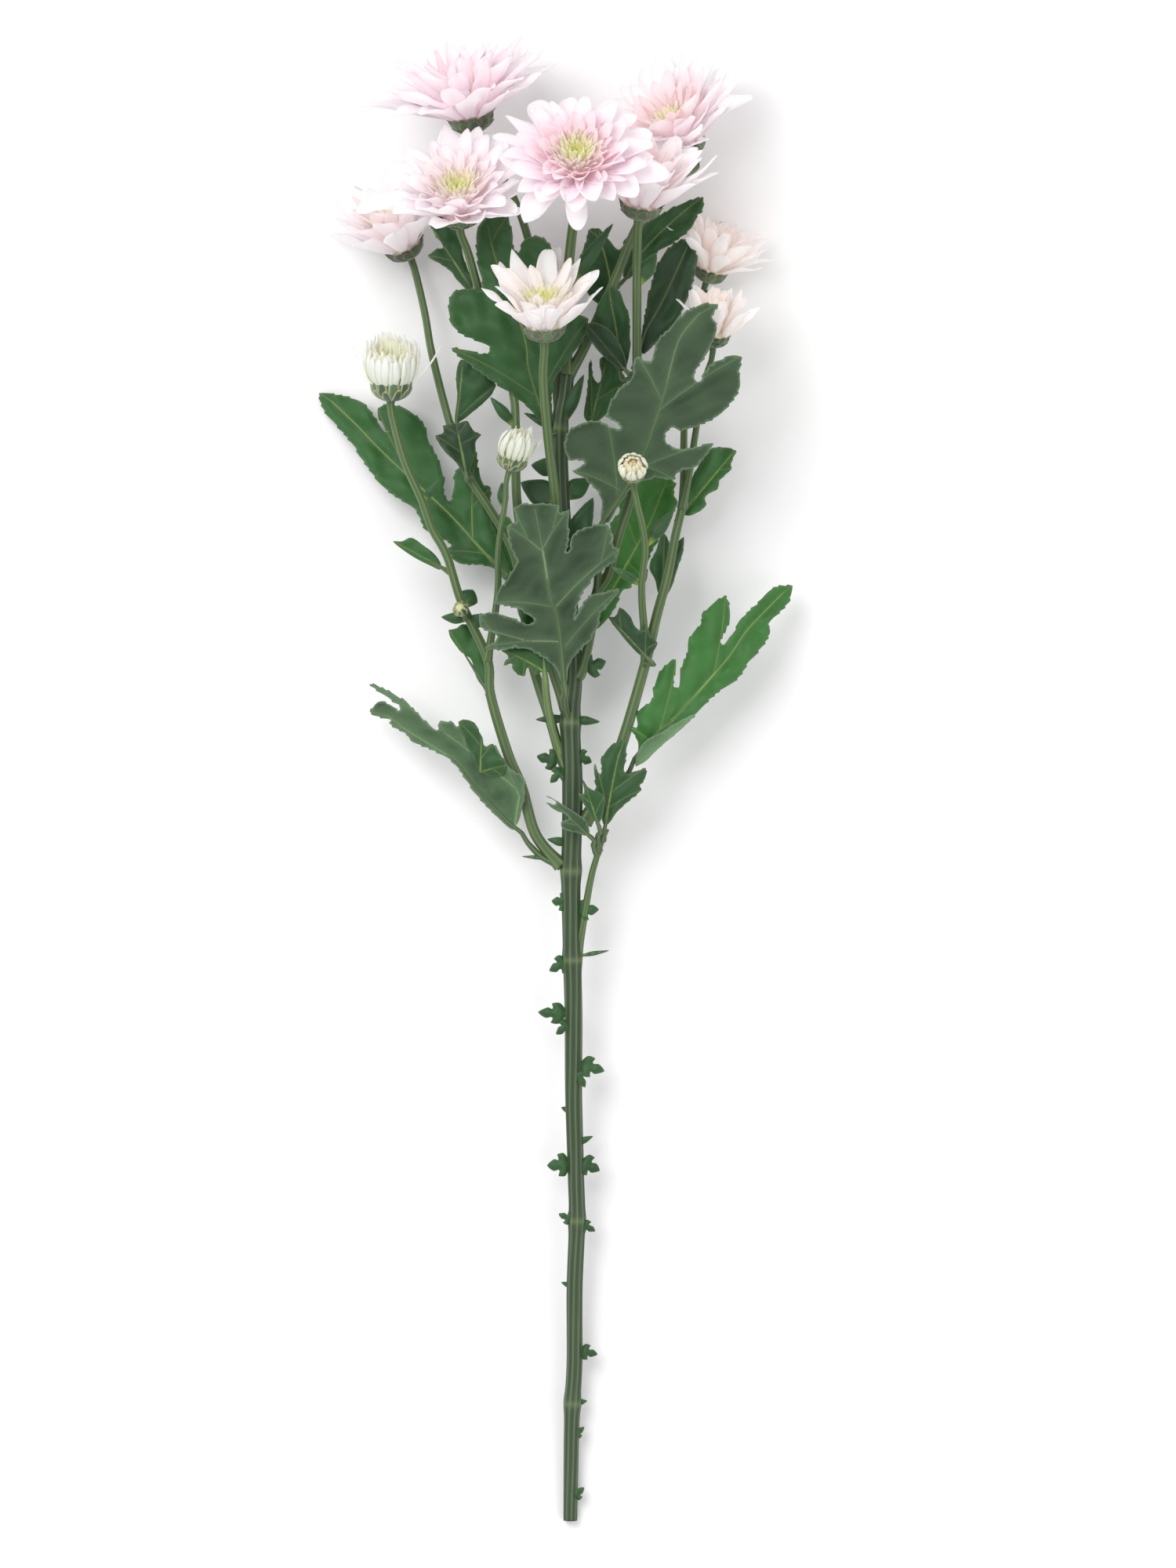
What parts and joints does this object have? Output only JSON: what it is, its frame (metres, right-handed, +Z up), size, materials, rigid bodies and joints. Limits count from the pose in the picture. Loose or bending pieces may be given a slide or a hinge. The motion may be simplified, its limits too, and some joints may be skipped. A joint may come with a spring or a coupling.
{
  "type": "cut stem of a decorative spray chrysanthemum",
  "caption": "Branching cut flower stem with lobed leaves, pale pink semi-double blooms, half-open flowers and buds, lying on a surface.",
  "frame": {"origin": "centre of the part's outline on the surface it lies on", "axes": "+Y along the stem towards the flowers, +Z up from the surface, +X to the right seen from above"},
  "size_m": [0.2072, 0.6456, 0.1182],
  "materials": {
    "stem_green": "fresh ribbed green stem, matte with fine down",
    "leaf_upper": "fresh leaf, upper side, rich green, slight sheen",
    "leaf_under": "fresh leaf, felted grey-green underside",
    "petal_pink": "soft pale pink petals",
    "petal_pale": "soft pinkish white petals",
    "petal_ivory": "ivory white young petals",
    "calyx_green": "overlapping green bracts with pale brown edges",
    "eye_lime": "yellow-green young florets"
  },
  "bodies": {
    "root": {"bud_m": "calyx_green", "calyx_a": "calyx_green", "calyx_b": "calyx_green", "calyx_c": "calyx_green", "calyx_d": "calyx_green", "calyx_e": "calyx_green", "calyx_f": "calyx_green", "calyx_g": "calyx_green", "calyx_h": "calyx_green", "calyx_i": "calyx_green", "calyx_j": "calyx_green", "calyx_k": "calyx_green", "calyx_l": "calyx_green", "calyx_n": "calyx_green", "eye_b": "eye_lime", "eye_c": "eye_lime", "eye_f": "eye_lime", "eye_h": "eye_lime", "eye_j": "eye_lime", "leaf_back_bright": "leaf_upper", "leaf_back_left": "leaf_upper", "leaf_behind_front": "leaf_upper", "leaf_behind_mid": "leaf_upper", "leaf_dark_oval": "leaf_upper", "leaf_far_left": "leaf_upper", "leaf_front_middle": "leaf_under", "leaf_front_right": "leaf_under", "leaf_left_bright": "leaf_upper", "leaf_left_lobed": "leaf_upper", "leaf_left_oval": "leaf_upper", "leaf_left_slim": "leaf_upper", "leaf_lower_left": "leaf_under", "leaf_lower_right": "leaf_upper", "leaf_mid_right": "leaf_upper", "leaf_on_left_branch": "leaf_upper", "leaf_right_bright": "leaf_upper", "leaf_right_lobed": "leaf_upper", "leaf_right_long": "leaf_upper", "leaf_right_small": "leaf_upper", "leaf_shoot_left": "leaf_under", "leaf_shoot_mid": "leaf_upper", "leaf_shoot_right": "leaf_upper", "leaf_top_right": "leaf_upper", "leaf_upper_left": "leaf_upper", "leaf_upper_mid": "leaf_upper", "petals_a": "petal_pink", "petals_b": "petal_pink", "petals_c": "petal_pink", "petals_d": "petal_pink", "petals_e": "petal_pink", "petals_f": "petal_pink", "petals_g": "petal_pale", "petals_h": "petal_pale", "petals_i": "petal_pale", "petals_j": "petal_ivory", "petals_k": "petal_ivory", "petals_l": "petal_ivory", "petals_n": "petal_pale", "stem": "stem_green"}
  },
  "joints": []
}
